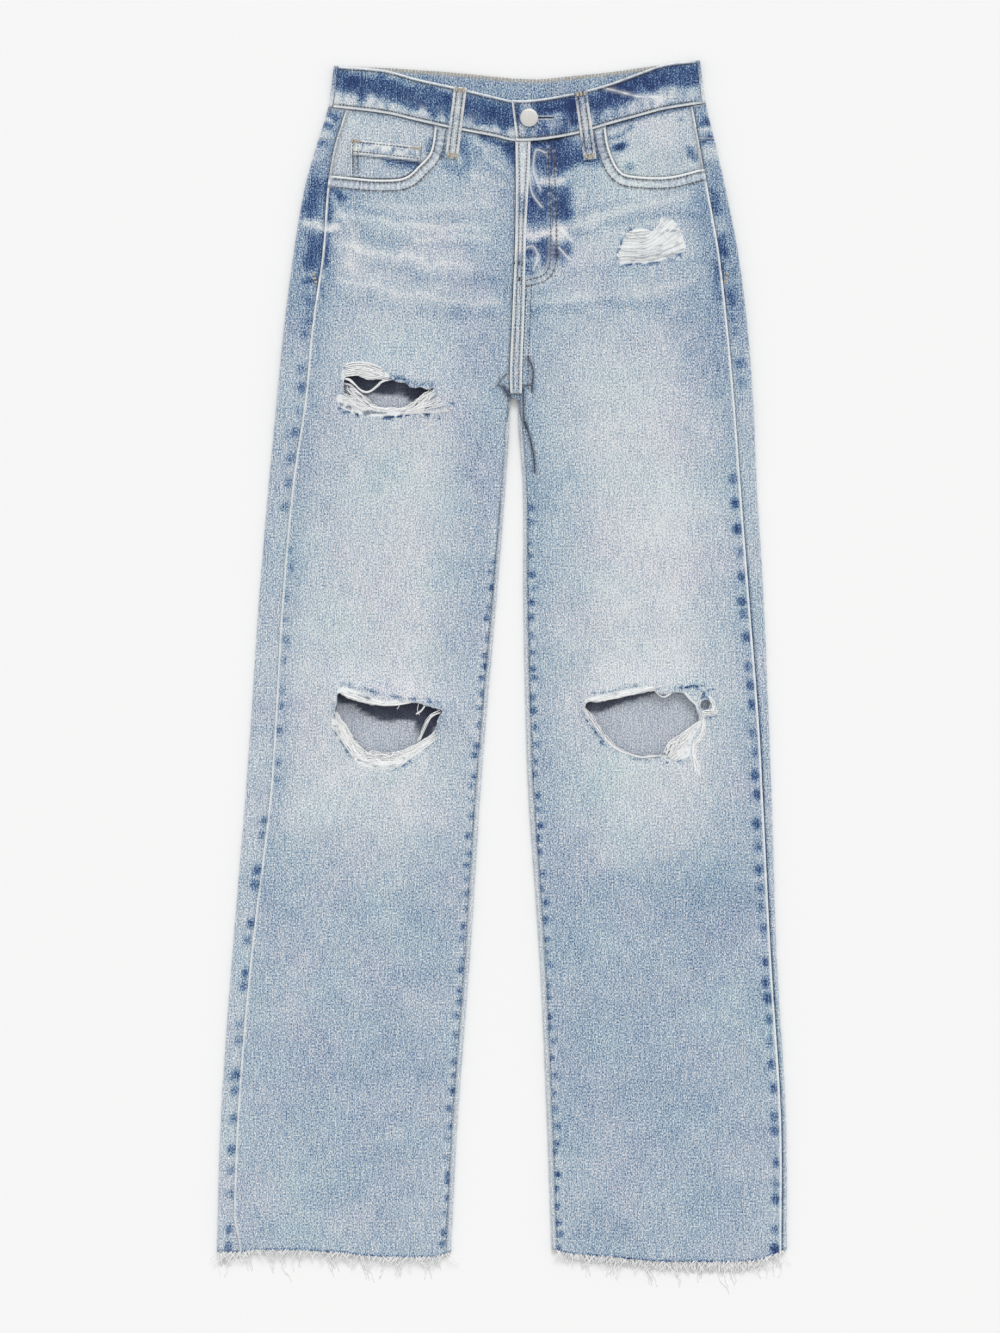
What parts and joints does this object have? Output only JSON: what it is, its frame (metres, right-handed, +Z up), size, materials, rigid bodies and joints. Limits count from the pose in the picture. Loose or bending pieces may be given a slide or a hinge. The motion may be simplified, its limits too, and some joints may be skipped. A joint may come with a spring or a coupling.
{
  "type": "ripped jeans laid flat",
  "caption": "Straight wide-leg jeans laid flat front up, with torn knees and thigh, raw frayed hems and a dipped waistband.",
  "frame": {"origin": "centre of the underside, on the surface that the jeans lie on", "axes": "+Y along the legs towards the waist, +Z up out of the front, +X towards the wearer's left"},
  "size_m": [0.5418, 1.1673, 0.0113],
  "materials": {
    "denim": "stone-washed light blue twill, matte",
    "denim_dark": "less washed indigo twill, matte",
    "cotton_thread": "loose undyed cotton threads",
    "button_metal": "satin nickel"
  },
  "bodies": {
    "root": {"front_panel_right": "denim", "front_panel_left": "denim", "back_panel_right": "denim", "back_panel_left": "denim", "back_yoke_right": "denim", "back_yoke_left": "denim", "waistband_back": "denim_dark", "waistband_front_right": "denim_dark", "waistband_front_left": "denim_dark", "fly_placket": "denim", "pocket_facing_right": "denim", "pocket_facing_left": "denim", "coin_pocket": "denim", "back_pocket_right": "denim", "back_pocket_left": "denim", "belt_loop_front_right": "denim", "belt_loop_front_left": "denim", "belt_loop_back_right": "denim", "belt_loop_center_back": "denim", "belt_loop_back_left": "denim", "waist_button": "button_metal", "hem_fringe_right": "cotton_thread", "hem_fringe_left": "cotton_thread"}
  },
  "joints": []
}
